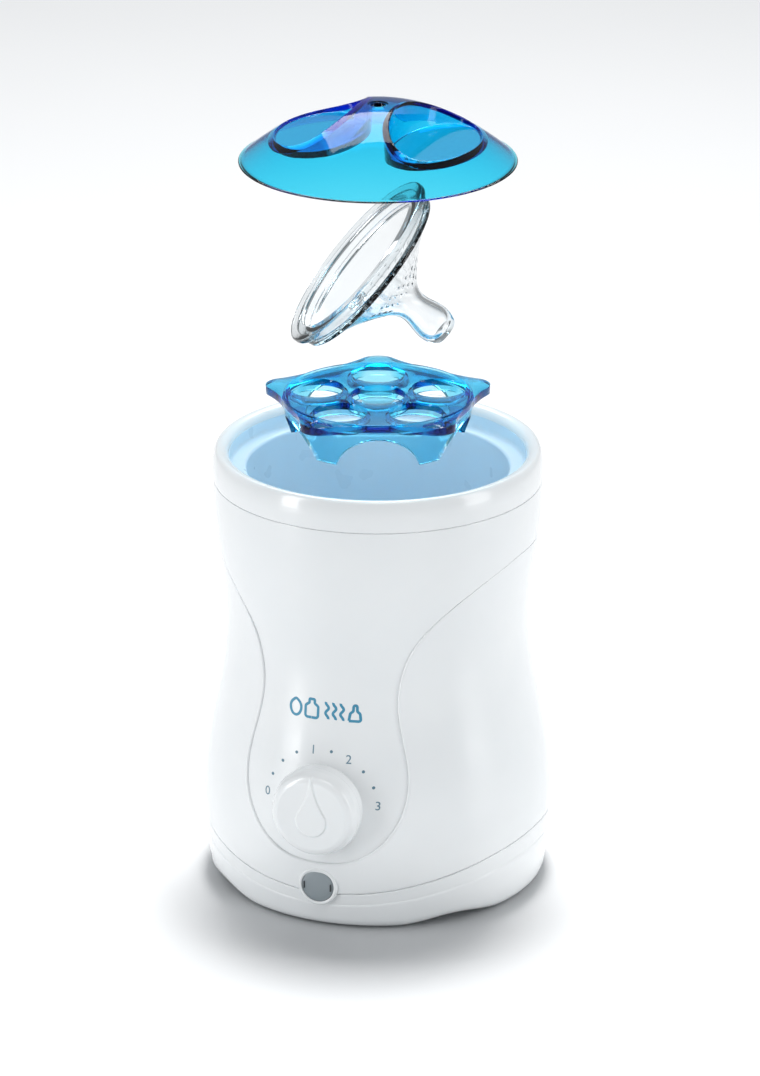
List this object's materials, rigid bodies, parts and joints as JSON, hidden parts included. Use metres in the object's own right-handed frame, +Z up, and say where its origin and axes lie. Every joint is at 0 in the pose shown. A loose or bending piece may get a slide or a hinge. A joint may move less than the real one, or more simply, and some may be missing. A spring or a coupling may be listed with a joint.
{
  "type": "bottle sterilizer",
  "caption": "One-bottle warmer and steriliser with an hourglass body, a dial, a heated well, a rack, a teat and a domed lid, shown lifted apart",
  "frame": {"origin": "on the axis of the body, at the surface that the rubber feet stand on", "axes": "+Z up, the dial faces -Y, +X to the right seen from the front"},
  "size_m": [0.124, 0.1366, 0.2837],
  "materials": {
    "white_plastic": "glossy white moulded plastic",
    "liner_plastic": "light blue moulded plastic",
    "blue_plastic": "clear blue moulded plastic",
    "silicone": "clear soft silicone",
    "lens_plastic": "smoky clear plastic",
    "lamp_glass": "clear glass",
    "foot_rubber": "soft grey rubber",
    "gasket_rubber": "silicone rubber",
    "plate_aluminium": "satin pressed aluminium",
    "heater_ceramic": "ceramic in foil",
    "steel": "zinc plated steel",
    "grey_plastic": "light grey moulded plastic",
    "brass": "turned brass",
    "copper": "drawn copper",
    "lead_brown": "silicone insulation",
    "lead_blue": "silicone insulation",
    "lead_white": "silicone insulation"
  },
  "bodies": {
    "housing": {"front_shell": "white_plastic", "side_shell": "white_plastic", "base_pan": "white_plastic", "rim_collar": "white_plastic", "lamp_bezel": "white_plastic", "well_liner": "liner_plastic", "lamp_lens": "lens_plastic", "neon_lamp": "lamp_glass", "rubber_feet": "foot_rubber", "well_gasket": "gasket_rubber", "heater_plate": "plate_aluminium", "ptc_heater": "heater_ceramic", "clamp_ring": "steel", "clamp_screws": "steel", "base_screws": "steel", "heater_bracket": "steel", "heater_nuts": "steel", "thermal_fuse": "steel", "fuse_clip": "steel", "bulb_clip": "steel", "thermostat_body": "grey_plastic", "thermostat_nut": "brass", "lamp_holder": "grey_plastic", "cord_gland": "grey_plastic", "cord_clamp": "grey_plastic", "cord_clamp_screws": "steel", "terminal_block": "grey_plastic", "lead_live": "lead_brown", "lead_switched": "lead_brown", "lead_neutral": "lead_blue", "lead_heater": "lead_blue", "lamp_leads": "lead_white", "sensor_capillary": "copper"},
    "dial": {"knob": "white_plastic", "knob_spring": "steel", "thermostat_spindle": "brass"},
    "rack": {"rack": "blue_plastic"},
    "teat": {"teat": "silicone", "teat_valve": "silicone"},
    "lid": {"lid": "blue_plastic"}
  },
  "joints": [
    {"name": "dial_turn", "type": "hinge", "parent": "housing", "child": "dial", "pos_m": [0, -0.065, 0.0455], "axis": [0, 1, 0], "range_deg": [-83.7, 83.7]},
    {"name": "rack_lift", "type": "slide", "parent": "housing", "child": "rack", "axis": [0, 0, 1], "range_m": [-0.0876, 0.05]},
    {"name": "teat_lift", "type": "slide", "parent": "rack", "child": "teat", "axis": [0, 0, 1], "range_m": [-0.0198, 0.055]},
    {"name": "lid_lift", "type": "slide", "parent": "teat", "child": "lid", "axis": [0, 0, 1], "range_m": [-0.0037, 0.08]}
  ]
}
